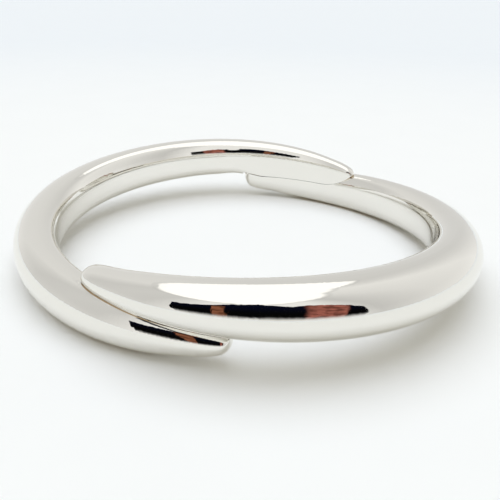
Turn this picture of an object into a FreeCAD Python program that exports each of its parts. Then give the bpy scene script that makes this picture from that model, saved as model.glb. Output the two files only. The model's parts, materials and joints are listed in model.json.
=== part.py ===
import FreeCAD, Part
import math
import os

# Hinged crossover bangle, closed.  Millimetres, +Z up, origin on the ring's axis at floor level.
# Two hollow crescents, half a turn apart.  Each one has a high thin tail and a low thin tail, and
# the high tail of one lies over the low tail of the other.  At the back (+Y) crossing the tails
# are lapped round a vertical screw, the hinge.  At the front (-Y) crossing the high tail nests in
# the low one and a sprung ball makes the catch.
# "u" runs along one crescent, from about -1 at the tip of its high tail to about +1 at the tip of
# its low tail.  The two tails at the hinge are a little longer than the two at the catch.

INNER_RADIUS = 30.0        # ring's clear inner radius
HALF_SPAN = 109.0          # degrees from a crescent's middle to where |u| is 1
CATCH_TIP = 1.0            # |u| at the tips that cross at the catch
HINGE_TIP = 1.028          # |u| at the tips that cross at the hinge

WIDEST = 7.54              # largest radial width of a section
WIDEST_AT = -0.25          # u of the widest section
HIGH_WIDTH = (1.236, 2.45)  # taper factor and power of the width, towards the high tip
LOW_WIDTH = (0.319, 1.76)  # the same, towards the low tip
TALLEST = 7.9              # height of a section at the crescent's middle
HIGH_HEIGHT = (0.70, 3.8)  # taper factor and power of the height, towards the high tip
LOW_HEIGHT = (0.635, 5.0)  # the same, towards the low tip
CLIMB = 2.47               # the tails' centre lines stand this far over and under the middle
LEVEL_AT = 0.14            # u where the centre line crosses its mean height
CLIMB_SPAN = 0.83          # u from there to where each tail runs level
CREST = 0.41               # crest's place across the width, from the inner side
NOSE = 1.6                 # length of the rounded nose at each tip
NOSE_STEPS = (20, 38, 54, 67, 77, 84)  # degrees round the nose where it has a section
TAIL_GAP = 0.18            # gap between the tails at the catch

WALL = 0.9                 # sheet thickness of the hollow bodies
BODY_END = 0.6             # |u| where the hollow body meets the solid tails
SPIGOT = 2.5               # degrees that a tail's spigot reaches into the body
SPIGOT_FIT = 0.05          # gap round a spigot
BAND_REACH = 0.27          # half height of the inner band, as a part of the section's height
BAND_DEPTH = 1.7           # radial depth that the band's edges are cut to

HINGE_ANGLE = 101.0        # place of the hinge screw round the ring
HINGE_RADIUS = INNER_RADIUS + 2.05
SCREW_R = 0.8
HEAD_R = 1.3
HEAD_HEIGHT = 0.6
SLOT_WIDTH = 0.35
SLOT_DEPTH = 0.3
RUNNING = 0.03             # radial and axial clearance of what turns
BUSH_R = 1.4
WASHER_R = 1.5
HINGE_SEAT = (4.15, 4.85)   # heights of the washer's seats in the low and the high tail
HEAD_TOP = 1.95            # height of the shoulder that the screw's head bears on
SCREW_TOP = 9.0
BUSH_TOP = 9.3

LAP_HEIGHT = 4.5           # top of the low tail where the hinge's tails are lapped
LAP_GAP = 0.06             # gap between the lapped faces
LAP_RAMP_AT = 11.0         # distance from the screw where the lap turns up under the high tip
LAP_RAMP_RADIUS = 9.6      # radius of that upturned stretch
LAP_RAMP_END = 19.0        # distance from the screw where it has left the crescent
LAP_RISE_AT = 3.2          # distance from the screw where the lap rises towards the low tip
LAP_RISE = 0.20            # slope of that rise
LAP_SHOULDER = 6.6         # distance from the screw of the high tail's shoulder past the low tip
LAP_UPRIGHT = (0.50, 0.62)  # |u| over which the high tail's inner face becomes upright
LAP_DEEPER = (0.61, 0.72)  # |u| over which its uncut underside comes down past the lap
LAP_FOOT = 2.0             # height that the uncut underside comes down to
LAP_HANDLE = 0.95          # handle that keeps the lapped tail's inner face upright
LOW_LIFT = 1.4             # the low tip's widest level is raised this much to meet the lap
LOW_LIFT_OVER = (0.84, 1.0)

CATCH_ANGLE = 277.0        # place of the ball catch round the ring
CATCH_RADIUS = INNER_RADIUS + 2.1
BARREL_R = 1.35
BORE_R = 1.04
LIP_R = 0.9
LIP_HEIGHT = 0.12
BARREL_RECESS = 0.42       # the barrel's mouth stands back this far from the tail's underside
BARREL_LENGTH = 4.2
PLUG_HEIGHT = 0.7
BALL_R = 1.0
DIMPLE_R = 1.05
STRIKE_R = 1.3
STRIKE_BOTTOM = 3.2
SPRING_R = 0.72
WIRE_R = 0.12
SPRING_TURNS = 5

HANDLE = 0.5523            # Bezier handle of a quarter ellipse
FULL_HANDLE = 0.74         # handle of the fuller quarters on the inner side


def centre_height(u):
    return -CLIMB * math.sin(math.pi / 2 * (u - LEVEL_AT) / CLIMB_SPAN)


def section_height(u):
    factor, power = HIGH_HEIGHT if u < 0 else LOW_HEIGHT
    return TALLEST * (1 - factor * abs(u) ** power)


def section_width(u):
    away = u - WIDEST_AT
    factor, power = HIGH_WIDTH if away < 0 else LOW_WIDTH
    return WIDEST * (1 - factor * abs(away) ** power)


def underside(u):
    return centre_height(u) - section_height(u) / 2


FLOOR = min(underside(i / 200) for i in range(201))
NOSE_SPAN = NOSE / (math.radians(HALF_SPAN) * (INNER_RADIUS + WIDEST / 4))
BARREL_BOTTOM = underside((CATCH_ANGLE - 360) / HALF_SPAN) - FLOOR + BARREL_RECESS
BARREL_TOP = BARREL_BOTTOM + BARREL_LENGTH


def tips(lapped):
    """u at the high tip and at the low tip of a crescent."""
    return (-HINGE_TIP, CATCH_TIP) if lapped else (-CATCH_TIP, HINGE_TIP)


def nose_scale(u, lapped):
    """Shrinks the sections to a round nose over the last stretch before each tip."""
    tip = tips(lapped)[1 if u > 0 else 0]
    into = (abs(u) - abs(tip)) / NOSE_SPAN + 1
    return 1.0 if into <= 0 else math.sqrt(max(0.0, 1 - into * into))


def spot(angle, radius, z):
    a = math.radians(angle)
    return FreeCAD.Vector(radius * math.cos(a), radius * math.sin(a), z)


def eased(value, span):
    """0 before the span, 1 after it, and a smooth step between."""
    along = max(0.0, min(1.0, (value - span[0]) / (span[1] - span[0])))
    return along * along * (3 - 2 * along)


def section(u, inset, lapped):
    """An egg-shaped outline across the crescent, fuller and flatter on its inner side."""
    shrink = nose_scale(u, lapped)
    width, mid, half = section_width(u), centre_height(u) - FLOOR, section_height(u) / 2
    foot, low_handle = half, FULL_HANDLE
    if lapped:
        foot += (mid - LAP_FOOT - half) * eased(-u, LAP_DEEPER)
        low_handle += (LAP_HANDLE - FULL_HANDLE) * eased(-u, LAP_UPRIGHT)
    else:
        lift = LOW_LIFT * eased(u, LOW_LIFT_OVER)
        mid, foot = mid + lift, foot + lift
    top, foot = half * shrink - inset, foot * shrink - inset
    crest = INNER_RADIUS + CREST * width
    inner = CREST * width * shrink - inset
    outer = (1 - CREST) * width * shrink - inset
    edges = []
    for side, rise, grip in ((outer, top, HANDLE), (-inner, top, FULL_HANDLE),
                             (-inner, -foot, low_handle), (outer, -foot, HANDLE)):
        poles = [(side, 0), (side, rise * grip), (side * grip, rise), (0, rise)]
        if side * rise < 0:
            poles.reverse()
        curve = Part.BezierCurve()
        curve.setPoles([spot(u * HALF_SPAN, crest + x, mid + z) for x, z in poles])
        edges.append(curve.toShape())
    return Part.Wire(edges)


def spaced(first, last):
    return [first + (last - first) * i / 30 for i in range(31)]


def full_length(lapped):
    """Stations from tip to tip, even on the body and closer together on the noses."""
    high, low = tips(lapped)
    nose = [NOSE_SPAN * (1 - math.sin(math.radians(a))) for a in NOSE_STEPS]
    body = spaced(high + NOSE_SPAN, low - NOSE_SPAN)
    return [high + step for step in reversed(nose)] + body + [low - step for step in nose]


def crescent(stations, inset=0.0, lapped=False):
    return Part.makeLoft([section(u, inset, lapped) for u in stations], True, False)


def sector(first, last):
    """A thick wedge of the ring between two places u."""
    low, high = first * HALF_SPAN, last * HALF_SPAN
    block = [(INNER_RADIUS / 2, -5), (INNER_RADIUS * 2, -5), (INNER_RADIUS * 2, 20), (INNER_RADIUS / 2, 20)]
    wire = Part.makePolygon([spot(low, r, z) for r, z in block + block[:1]])
    return Part.Face(wire).revolve(FreeCAD.Vector(), FreeCAD.Vector(0, 0, 1), high - low)


def band_cutter():
    """Follows the middle of the inner wall along the hollow body."""
    wires = []
    for u in spaced(-BODY_END, BODY_END):
        mid, reach = centre_height(u) - FLOOR, BAND_REACH * section_height(u)
        block = [(-1, mid - reach), (BAND_DEPTH, mid - reach), (BAND_DEPTH, mid + reach), (-1, mid + reach)]
        points = [spot(u * HALF_SPAN, INNER_RADIUS + x, z) for x, z in block + block[:1]]
        wires.append(Part.makePolygon(points))
    return Part.makeLoft(wires, True, False)


def half_turn(shape):
    turned = shape.copy()
    turned.rotate(FreeCAD.Vector(), FreeCAD.Vector(0, 0, 1), 180)
    return turned


def disc(angle, radius, r, bottom, top):
    return Part.makeCylinder(r, top - bottom, spot(angle, radius, bottom))


def at_hinge(r, bottom, top):
    return disc(HINGE_ANGLE, HINGE_RADIUS, r, bottom, top)


def at_catch(r, bottom, top):
    return disc(CATCH_ANGLE, CATCH_RADIUS, r, bottom, top)


def ball(r):
    low = BARREL_BOTTOM + LIP_HEIGHT + math.sqrt(BALL_R ** 2 - LIP_R ** 2) + RUNNING / 2
    return Part.makeSphere(r, spot(CATCH_ANGLE, CATCH_RADIUS, low)), low


def lap_space(gap):
    """The space over the low tail's lapped face, a surface of revolution round the screw."""
    axis = FreeCAD.Vector(0, 0, 1)
    middle = spot(HINGE_ANGLE, HINGE_RADIUS, 0)
    out = spot(HINGE_ANGLE - 90, 1, 0)
    seat, top = LAP_HEIGHT + gap, 25

    def at(along, z):
        return middle + out * along + axis * z

    def ramp(along):
        reach = along - LAP_RAMP_AT
        return seat + LAP_RAMP_RADIUS - math.sqrt(LAP_RAMP_RADIUS ** 2 - reach ** 2)

    bend = (LAP_RAMP_AT + LAP_RAMP_END) / 2
    ends = at(LAP_RAMP_AT, seat), at(bend, ramp(bend)), at(LAP_RAMP_END, ramp(LAP_RAMP_END))
    upturn = Part.Arc(*ends).toShape()
    sides = Part.makePolygon([ends[2], at(LAP_RAMP_END, top), at(0, top), at(0, seat), ends[0]])
    near = Part.Face(Part.Wire([upturn] + sides.Edges))
    shoulder = LAP_SHOULDER + gap
    rise = seat + LAP_RISE * (shoulder - LAP_RISE_AT)
    block = [(0, seat), (LAP_RISE_AT, seat), (shoulder, rise), (shoulder, -5), (LAP_RAMP_AT, -5),
             (LAP_RAMP_AT, top), (0, top), (0, seat)]
    far = Part.Face(Part.makePolygon([at(along, z) for along, z in block]))
    near = near.revolve(middle, axis, 90).fuse(near.revolve(middle, axis, -90))
    far.rotate(middle, axis, 180)
    far = far.revolve(middle, axis, 90).fuse(far.revolve(middle, axis, -90))
    return near.fuse(far)


def crescent_pieces(lapped):
    """Shell, inner band, high tail and low tail of one crescent, as the right-hand one lies."""
    whole = crescent(full_length(lapped), 0.0, lapped)
    hollow = spaced(-BODY_END - 0.05, BODY_END + 0.05)
    space = crescent(hollow, WALL, lapped)
    fitted = crescent(hollow, WALL + SPIGOT_FIT, lapped)
    reach = SPIGOT / HALF_SPAN
    tube = whole.common(sector(-BODY_END, BODY_END)).cut(space)
    cutter = band_cutter()
    high = whole.common(sector(-1.1, -BODY_END))
    high = high.fuse(fitted.common(sector(-BODY_END - 0.01, -BODY_END + reach)))
    low = whole.common(sector(BODY_END, 1.1))
    low = low.fuse(fitted.common(sector(BODY_END - reach, BODY_END + 0.01)))
    return tube.cut(cutter), tube.common(cutter), high, low


def hinge_pieces(high, low):
    """The hinge screw turns in the low tail and is screwed into a bush in the high tail."""
    low = low.cut(lap_space(0))
    high = high.common(lap_space(LAP_GAP))
    low_seat, high_seat = HINGE_SEAT
    low = low.cut(at_hinge(WASHER_R + RUNNING, low_seat, high_seat))
    low = low.cut(at_hinge(SCREW_R + RUNNING, 0, high_seat))
    low = low.cut(at_hinge(HEAD_R + RUNNING, -1, HEAD_TOP))
    high = high.cut(at_hinge(WASHER_R, low_seat, high_seat)).cut(at_hinge(BUSH_R, high_seat, BUSH_TOP))
    bush = at_hinge(BUSH_R, high_seat, BUSH_TOP).cut(at_hinge(SCREW_R, low_seat, BUSH_TOP + 1))
    washer = at_hinge(WASHER_R, low_seat + RUNNING, high_seat)
    washer = washer.cut(at_hinge(SCREW_R, low_seat, high_seat))
    head_bottom = HEAD_TOP - RUNNING - HEAD_HEIGHT
    screw = at_hinge(HEAD_R, head_bottom, HEAD_TOP - RUNNING).fuse(at_hinge(SCREW_R, head_bottom, SCREW_TOP))
    middle = spot(HINGE_ANGLE, HINGE_RADIUS, head_bottom)
    slot = Part.makeBox(4 * HEAD_R, SLOT_WIDTH, 2 * SLOT_DEPTH)
    slot.translate(middle - FreeCAD.Vector(2 * HEAD_R, SLOT_WIDTH / 2, SLOT_DEPTH))
    return high, low, {"hinge_screw": screw.cut(slot), "hinge_bush": bush, "hinge_washer": washer}


def catch_pieces(high, low):
    """The ball stands out of a barrel in the high tail into a dimple in the low tail."""
    low = low.cut(crescent([u for u in full_length(False) if u < -BODY_END + 0.1], -TAIL_GAP))
    high = high.cut(at_catch(BARREL_R, 0, BARREL_TOP))
    bore = at_catch(BORE_R, BARREL_BOTTOM + LIP_HEIGHT, BARREL_TOP)
    barrel = at_catch(BARREL_R, BARREL_BOTTOM, BARREL_TOP).cut(bore).cut(at_catch(LIP_R, 0, BARREL_TOP))
    plug = at_catch(BORE_R, BARREL_TOP - PLUG_HEIGHT, BARREL_TOP)
    sphere, height = ball(BALL_R)
    strike_hole = at_catch(STRIKE_R, STRIKE_BOTTOM, BARREL_TOP)
    strike = low.common(strike_hole).cut(ball(DIMPLE_R)[0])
    foot = height + BALL_R
    length = BARREL_TOP - PLUG_HEIGHT - foot - 4 * WIRE_R
    helix = Part.makeHelix(length / SPRING_TURNS, length, SPRING_R)
    ring = Part.Wire(Part.makeCircle(WIRE_R, FreeCAD.Vector(SPRING_R, 0, 0), FreeCAD.Vector(0, 1, 0)))
    spring = Part.Wire(helix).makePipeShell([ring], True, True)
    spring.translate(spot(CATCH_ANGLE, CATCH_RADIUS, foot + 2 * WIRE_R))
    return high, low.cut(strike_hole), {"catch_barrel": barrel, "catch_plug": plug, "catch_ball": sphere,
                                        "catch_spring": spring, "catch_strike": strike}


def main():
    os.makedirs("parts", exist_ok=True)
    right_shell, right_band, right_high, right_low = crescent_pieces(lapped=False)
    left = [half_turn(piece) for piece in crescent_pieces(lapped=True)]
    left_high, right_low, hinge = hinge_pieces(left[2], right_low)
    right_high, left_low, catch = catch_pieces(right_high, left[3])
    nodes = {
        "right_outer_shell": right_shell, "right_inner_band": right_band,
        "right_high_tail": right_high, "right_low_tail": right_low,
        "left_outer_shell": left[0], "left_inner_band": left[1],
        "left_high_tail": left_high, "left_low_tail": left_low,
    }
    nodes.update(hinge)
    nodes.update(catch)
    for name, shape in nodes.items():
        shape.exportStep("parts/" + name + ".step")
        box = shape.BoundBox
        print(name, len(shape.Solids), shape.isValid(), round(shape.Volume, 2),
              [round(v, 2) for v in (box.XMin, box.XMax, box.YMin, box.YMax, box.ZMin, box.ZMax)])


main()
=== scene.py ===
import json
import math

import bpy
from mathutils import Matrix, Vector

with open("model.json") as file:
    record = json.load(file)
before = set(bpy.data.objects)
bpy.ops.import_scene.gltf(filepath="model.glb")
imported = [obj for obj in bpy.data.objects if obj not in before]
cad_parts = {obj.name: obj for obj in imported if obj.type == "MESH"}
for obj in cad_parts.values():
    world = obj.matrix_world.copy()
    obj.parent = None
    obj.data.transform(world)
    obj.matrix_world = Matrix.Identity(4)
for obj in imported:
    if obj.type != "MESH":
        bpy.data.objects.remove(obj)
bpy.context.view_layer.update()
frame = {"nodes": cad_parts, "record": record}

# A polished silver crossover bangle on a pale table, in a white light tent.
# Lengths named here are millimetres, and become metres where they are used.  Colours are linear RGB.
# The view frame is the CAD frame turned about Z, so that the camera looks along its +Y.
MM = 0.001

# ---- camera
VIEW_AZIMUTH = 20.56       # degrees round the ring, from the catch towards the right half
VIEW_ELEVATION = 24.43     # degrees above the table
VIEW_DISTANCE = 97.9       # from AIM
VIEW_ROLL = 1.79           # degrees
AIM = (0.80, -0.79, 0.99)  # in the view frame
LENS = 41.6
SENSOR_WIDTH = 36
NEAREST_SEEN = 1

# ---- table
FLOOR_REACH = 30000
# painted light: the paper is coloured lighter near the ring and darker and bluer far from it, standing in for
# the tent's light falling off
PAPER_PAINTED_LIT = (0.94, 0.94, 0.93)
PAPER_PAINTED_DIM = (0.85, 0.875, 0.90)
PAPER_PAINTED_FALLOFF = (25, 420)    # over these distances from the ring, the painted light near it turns to the painted dimmer, bluer far colour
PAPER_GRAIN = 60.0         # per metre
PAPER_FLECKS = 0.02        # how much darker the darkest fleck is
PAPER_ROUGHNESS = 0.9

# ---- tent.  Places round the ring: 0 and 1 behind it, 0.25 left, 0.5 at the camera, 0.75 right.
# Heights: 0 level with the table, 1 straight up.
WALL_TONES = [(0.0, 0.66), (0.06, 0.70), (0.14, 0.72), (0.21, 0.60), (0.27, 0.62), (0.33, 0.60),
              (0.40, 0.80), (0.60, 0.84), (0.665, 0.56), (0.76, 0.72), (0.86, 0.80), (0.905, 0.66),
              (0.925, 0.62), (1.0, 0.66)]   # place and brightness
WALL_TOPS = [(0.0, 0.47), (0.07, 0.50), (0.16, 0.60), (0.35, 0.62), (0.50, 0.64), (0.60, 0.72),
             (0.80, 0.78), (0.88, 0.70), (0.93, 0.50), (1.0, 0.47)]   # place and height of the wall's end
WALL_FADE = (-0.02, 0.035)         # from the wall's end, where the roof's light begins and is full
HEM_WIDTH = 0.022                  # a darker seam along the wall's end
HEM_TONE = 0.80
LOW_GLOW = (0.22, 1.06)            # up to this height the table lights the wall, by this much at its foot
ROOF_TONE = 1.12
ROOM_LIGHT = (0.75, 0.725, 0.63)   # tint of what the tent gives the table
ROOM_SEEN = (1.12, 1.12, 1.11)     # tint of what the silver mirrors
BACKDROP = (0.85, 0.89, 0.915)     # what shows beyond the end of the table

# ---- daylight through the tent's roof
ROOF_SPREAD = 72                   # degrees across
ROOF_ENERGY = 1.55
ROOF_TINT = (0.84, 0.93, 1.10)
ROOF_FROM = (-0.12, 0.13, 1.0)     # in the view frame

# ---- dark card with warm patches, seen only in the silver.  Its x and y are seen from the ring.
CARD_FROM = (0, -33.7, 5)          # front of the ring, in the view frame
CARD_AWAY = 60                     # distance of the card from there, towards the camera
CARD_EDGE = [(-62, 30), (-50, 27), (-32, 29), (-16, 38), (0, 43), (10, 38), (20, 33), (30, 40), (46, 39),
             (62, 34), (66, 30), (76, 24), (80, 12), (88, -12), (84, -26), (40, -34), (0, -30), (-30, -26),
             (-62, -20), (-66, 0)]
CARD_FADE = (-26, -6)              # between these heights the card comes out of clear air
CARD_LOW = (0.002, 0.002, 0.002)
CARD_HIGH = (0.002, 0.003, 0.012)
CARD_HIGH_AT = 40
CARD_GRAIN = 90.0                  # per metre
PATCHES = [((-23, 0), (5, 30), (0.20, 0.075, 0.040)),    # middle, half size, colour
           ((45, 12), (17, 34), (0.30, 0.100, 0.075))]
PATCH_EDGE = (0.8, 1.05)           # in half sizes, where a patch begins and ends to fade
PATCH_RAGGED = 0.5                 # in half sizes, how far the grain moves that edge
PATCH_STRIPES = (0.5, 1.3)         # darkest and brightest share of its colour

# ---- metals: colour, roughness in the clear and in the cloudy spots, strength of the fine marks,
# colour of the painted shade in crevices, and how much finer the marks are along X, Y and Z
FINISHES = {
    "polished_silver": ((0.87, 0.852, 0.80), (0.025, 0.05), 0.06, (0.52, 0.36, 0.13), (1, 1, 3)),
    "white_steel": ((0.66, 0.66, 0.67), (0.22, 0.34), 0.5, (0.30, 0.25, 0.18), (1, 1, 6)),
    "ball_steel": ((0.72, 0.73, 0.75), (0.05, 0.10), 0.15, (0.35, 0.32, 0.28), (1, 1, 1)),
    "spring_steel": ((0.50, 0.51, 0.54), (0.20, 0.35), 0.5, (0.22, 0.20, 0.17), (1, 1, 1)),
    "bronze": ((0.66, 0.42, 0.20), (0.25, 0.38), 0.5, (0.22, 0.12, 0.05), (1, 1, 1)),
}
CLOUD_GRAIN = 130.0                # per metre
CLOUD_DULLING = 0.97               # brightness of the cloudy spots
MARK_GRAIN = 2600.0                # per metre
MARK_DEPTH = 0.004
# painted shade: crevices, recesses and gaps between parts are coloured darker and golden brown by how closed
# in they are
CREVICE_REACH = 0.7
CREVICE_OPENS = (0.05, 0.55)       # share of open air round a point, from full painted shade to none
CREVICE_SHADE_SHARE = 0.85             # share of the painted shade's crevice colour at most


def turned(vector, degrees):
    return Matrix.Rotation(math.radians(degrees), 3, "Z") @ Vector(vector)


def view_back():
    """Unit vector from the object towards the camera."""
    e = math.radians(VIEW_ELEVATION)
    return turned((0, -math.cos(e), math.sin(e)), VIEW_AZIMUTH)


def facing(direction, axis):
    """Rotation that turns the given local axis to a direction and keeps local Y upwards."""
    return direction.to_track_quat(axis, "Y").to_matrix()


def link(name, data):
    obj = bpy.data.objects.new(name, data)
    bpy.context.scene.collection.objects.link(obj)
    return obj


def make_camera():
    data = bpy.data.cameras.new("camera")
    data.lens = LENS
    data.sensor_width = SENSOR_WIDTH
    data.clip_start = NEAREST_SEEN * MM
    cam = link("camera", data)
    back = view_back()
    roll = Matrix.Rotation(math.radians(VIEW_ROLL), 3, "Z")
    place = turned(AIM, VIEW_AZIMUTH) * MM + back * VIEW_DISTANCE * MM
    cam.matrix_world = Matrix.Translation(place) @ (facing(-back, "-Z") @ roll).to_4x4()
    bpy.context.scene.camera = cam


class Tree:
    """A node tree, with short calls for its nodes.  An input is a value or another node's output."""

    def __init__(self, owner):
        owner.use_nodes = True
        self.tree = owner.node_tree

    def add(self, kind, inputs=(), **values):
        n = self.tree.nodes.new(kind)
        for key, value in values.items():
            setattr(n, key, value)
        for key, value in dict(inputs).items():
            self.feed(n, key, value)
        return n

    def feed(self, n, key, value):
        if isinstance(value, bpy.types.NodeSocket):
            self.tree.links.new(value, n.inputs[key])
        else:
            n.inputs[key].default_value = value

    def math(self, op, *args):
        return self.add("ShaderNodeMath", dict(enumerate(args)), operation=op).outputs[0]

    def smooth(self, value, low, high, out_low=0.0, out_high=1.0):
        """From out_low, up to low, to out_high, beyond high, in a smooth step."""
        n = self.add("ShaderNodeMapRange", {"Value": value, "From Min": low, "From Max": high,
                                            "To Min": out_low, "To Max": out_high},
                     interpolation_type="SMOOTHSTEP")
        return n.outputs["Result"]

    def mix(self, share, a, b, blend="MIX"):
        n = self.add("ShaderNodeMix", data_type="RGBA", blend_type=blend)
        for key, value in ((0, share), (6, a), (7, b)):   # its sockets for colours are 6 and 7
            self.feed(n, key, value)
        return n.outputs[2]

    def times(self, a, b):
        return self.mix(1.0, a, b, "MULTIPLY")

    def noise(self, vector, scale, detail):
        return self.add("ShaderNodeTexNoise", {"Vector": vector, "Scale": scale, "Detail": detail}).outputs[0]

    def ramp(self, value, stops):
        n = self.add("ShaderNodeValToRGB", {0: value})
        elements = n.color_ramp.elements
        while len(elements) < len(stops):
            elements.new(0.5)
        for element, (place, tone) in zip(elements, stops):
            element.position = place
            element.color = (tone, tone, tone, 1)
        return n.outputs[0]

    def place(self):
        return self.add("ShaderNodeTexCoord").outputs["Object"]


def make_world():
    """The tent, by direction: walls of uneven brightness under a bright roof."""
    world = bpy.data.worlds.new("tent")
    bpy.context.scene.world = world
    t = Tree(world)
    direction = t.add("ShaderNodeTexCoord").outputs["Generated"]
    turn = t.add("ShaderNodeVectorRotate", {"Vector": direction, "Axis": (0, 0, 1),
                                            "Angle": math.radians(-VIEW_AZIMUTH)})
    x, y, z = t.add("ShaderNodeSeparateXYZ", {0: turn.outputs[0]}).outputs
    around = t.math("ARCTAN2", x, t.math("MULTIPLY", y, -1.0))
    around = t.math("ADD", t.math("DIVIDE", around, 2 * math.pi), 0.5)
    height = t.math("DIVIDE", t.math("ARCSINE", z), math.pi / 2)
    above = t.math("SUBTRACT", height, t.ramp(around, WALL_TOPS))
    hem = t.smooth(t.math("ABSOLUTE", above), 0.0, HEM_WIDTH, HEM_TONE, 1.0)
    roof = (ROOF_TONE, ROOF_TONE, ROOF_TONE, 1)
    bright = t.mix(t.smooth(above, *WALL_FADE), t.ramp(around, WALL_TONES), roof)
    bright = t.times(bright, hem)
    bright = t.times(bright, t.smooth(height, 0.0, LOW_GLOW[0], LOW_GLOW[1], 1.0))
    ray = t.add("ShaderNodeLightPath").outputs
    tint = t.mix(ray["Is Glossy Ray"], (*ROOM_LIGHT, 1), (*ROOM_SEEN, 1))
    seen = t.mix(ray["Is Camera Ray"], t.times(bright, tint), (*BACKDROP, 1))
    t.feed(t.tree.nodes["Background"], "Color", seen)


def make_light():
    """Soft daylight through the tent's roof, from above and a little behind the ring."""
    data = bpy.data.lights.new("roof", "SUN")
    data.angle = math.radians(ROOF_SPREAD)
    data.energy = ROOF_ENERGY
    data.color = ROOF_TINT
    lamp = link("roof", data)
    lamp.matrix_world = facing(-turned(ROOF_FROM, VIEW_AZIMUTH), "-Z").to_4x4()
    lamp.visible_glossy = False
    lamp.visible_camera = False


def make_floor():
    mesh = bpy.data.meshes.new("floor")
    s = FLOOR_REACH * MM
    mesh.from_pydata([(-s, -s, 0), (s, -s, 0), (s, s, 0), (-s, s, 0)], [], [(0, 1, 2, 3)])
    floor = link("floor", mesh)
    m = bpy.data.materials.new("table")
    t = Tree(m)
    bsdf = t.tree.nodes["Principled BSDF"]
    place = t.place()
    away = t.add("ShaderNodeVectorMath", {0: place}, operation="LENGTH").outputs["Value"]
    # painted light and shade on the table: the colour is lighter near the ring and darker and bluer further
    # out
    far = t.smooth(away, PAPER_PAINTED_FALLOFF[0] * MM, PAPER_PAINTED_FALLOFF[1] * MM)
    paper_with_painted_falloff = t.mix(far, (*PAPER_PAINTED_LIT, 1), (*PAPER_PAINTED_DIM, 1))
    fleck = t.mix(PAPER_FLECKS, paper_with_painted_falloff, (0, 0, 0, 1))
    t.feed(bsdf, "Base Color", t.mix(t.noise(place, PAPER_GRAIN, 3.0), fleck, paper_with_painted_falloff))
    bsdf.inputs["Roughness"].default_value = PAPER_ROUGHNESS
    mesh.materials.append(m)


def card_material():
    m = bpy.data.materials.new("card")
    t = Tree(m)
    t.tree.nodes.remove(t.tree.nodes["Principled BSDF"])
    place = t.place()
    x, y, _ = t.add("ShaderNodeSeparateXYZ", {0: place}).outputs
    grain = t.noise(place, CARD_GRAIN, 3.0)
    stripes = t.smooth(grain, 0.35, 0.65, *PATCH_STRIPES)
    colour = t.mix(t.smooth(y, 0.0, CARD_HIGH_AT * MM), (*CARD_LOW, 1), (*CARD_HIGH, 1))
    for middle, half_size, tone in PATCHES:
        sides = [t.math("DIVIDE", t.math("SUBTRACT", at, centre * MM), half * MM)
                 for at, centre, half in zip((x, y), middle, half_size)]
        far = t.math("MAXIMUM", *[t.math("ABSOLUTE", side) for side in sides])
        ragged = t.math("MULTIPLY", t.math("SUBTRACT", grain, 0.5), PATCH_RAGGED)
        inside = t.smooth(t.math("ADD", far, ragged), *PATCH_EDGE, 1.0, 0.0)
        colour = t.mix(inside, colour, t.times((*tone, 1), stripes))
    glow = t.add("ShaderNodeEmission", {"Color": colour, "Strength": 1.0})
    clear = t.add("ShaderNodeBsdfTransparent", {"Color": (1, 1, 1, 1)})
    fade = t.smooth(y, CARD_FADE[0] * MM, CARD_FADE[1] * MM)
    blend = t.add("ShaderNodeMixShader", {0: fade, 1: clear.outputs[0], 2: glow.outputs[0]})
    t.feed(t.tree.nodes["Material Output"], "Surface", blend.outputs[0])
    return m


def make_card():
    """The dark card that gives the silver its black band."""
    back = view_back()
    middle = turned(CARD_FROM, VIEW_AZIMUTH) + back * CARD_AWAY
    mesh = bpy.data.meshes.new("card")
    mesh.from_pydata([(x * MM, y * MM, 0) for x, y in CARD_EDGE], [], [tuple(range(len(CARD_EDGE)))])
    mesh.materials.append(card_material())
    card = link("card", mesh)
    card.matrix_world = Matrix.Translation(middle * MM) @ facing(back, "Z").to_4x4()
    card.visible_camera = False
    card.visible_diffuse = False
    card.visible_shadow = False


def metal(name, colour, roughness, marks, crevice_shade, grain):
    """Metal with cloudy wear, fine marks and painted shade, a darker colour in its crevices."""
    m = bpy.data.materials.new(name)
    t = Tree(m)
    bsdf = t.tree.nodes["Principled BSDF"]
    place = t.place()
    cloud = t.noise(place, CLOUD_GRAIN, 4.0)
    drawn = t.add("ShaderNodeMapping", {"Vector": place, "Scale": grain}).outputs[0]
    scratches = t.noise(drawn, MARK_GRAIN, 5.0)
    dull = [c * CLOUD_DULLING for c in colour]
    tone = t.mix(cloud, (*colour, 1), (*dull, 1))
    # painted shade: where little open air is round a point, the colour turns towards the darker crevice
    # colour
    air = t.add("ShaderNodeAmbientOcclusion", {"Distance": CREVICE_REACH * MM}, samples=8).outputs["AO"]
    tone = t.mix(t.smooth(air, *CREVICE_OPENS, CREVICE_SHADE_SHARE, 0.0), tone, (*crevice_shade, 1))
    bump = t.add("ShaderNodeBump", {"Height": scratches, "Strength": marks, "Distance": MARK_DEPTH * MM})
    t.feed(bsdf, "Base Color", tone)
    t.feed(bsdf, "Roughness", t.smooth(cloud, 0.3, 0.7, *roughness))
    t.feed(bsdf, "Normal", bump.outputs[0])
    bsdf.inputs["Metallic"].default_value = 1.0
    return m


def dress_nodes():
    """Every CAD node keeps its mesh and gets the finish that the record's material slot names."""
    finishes = {name: metal(name, *values) for name, values in FINISHES.items()}
    for part in frame["record"]["subparts"]:
        obj = frame["nodes"][part["node"]]
        obj.data.materials.clear()
        obj.data.materials.append(finishes[part["material_slot"]])


make_camera()
make_world()
make_light()
make_floor()
make_card()
dress_nodes()
bpy.context.scene.view_settings.view_transform = "Standard"
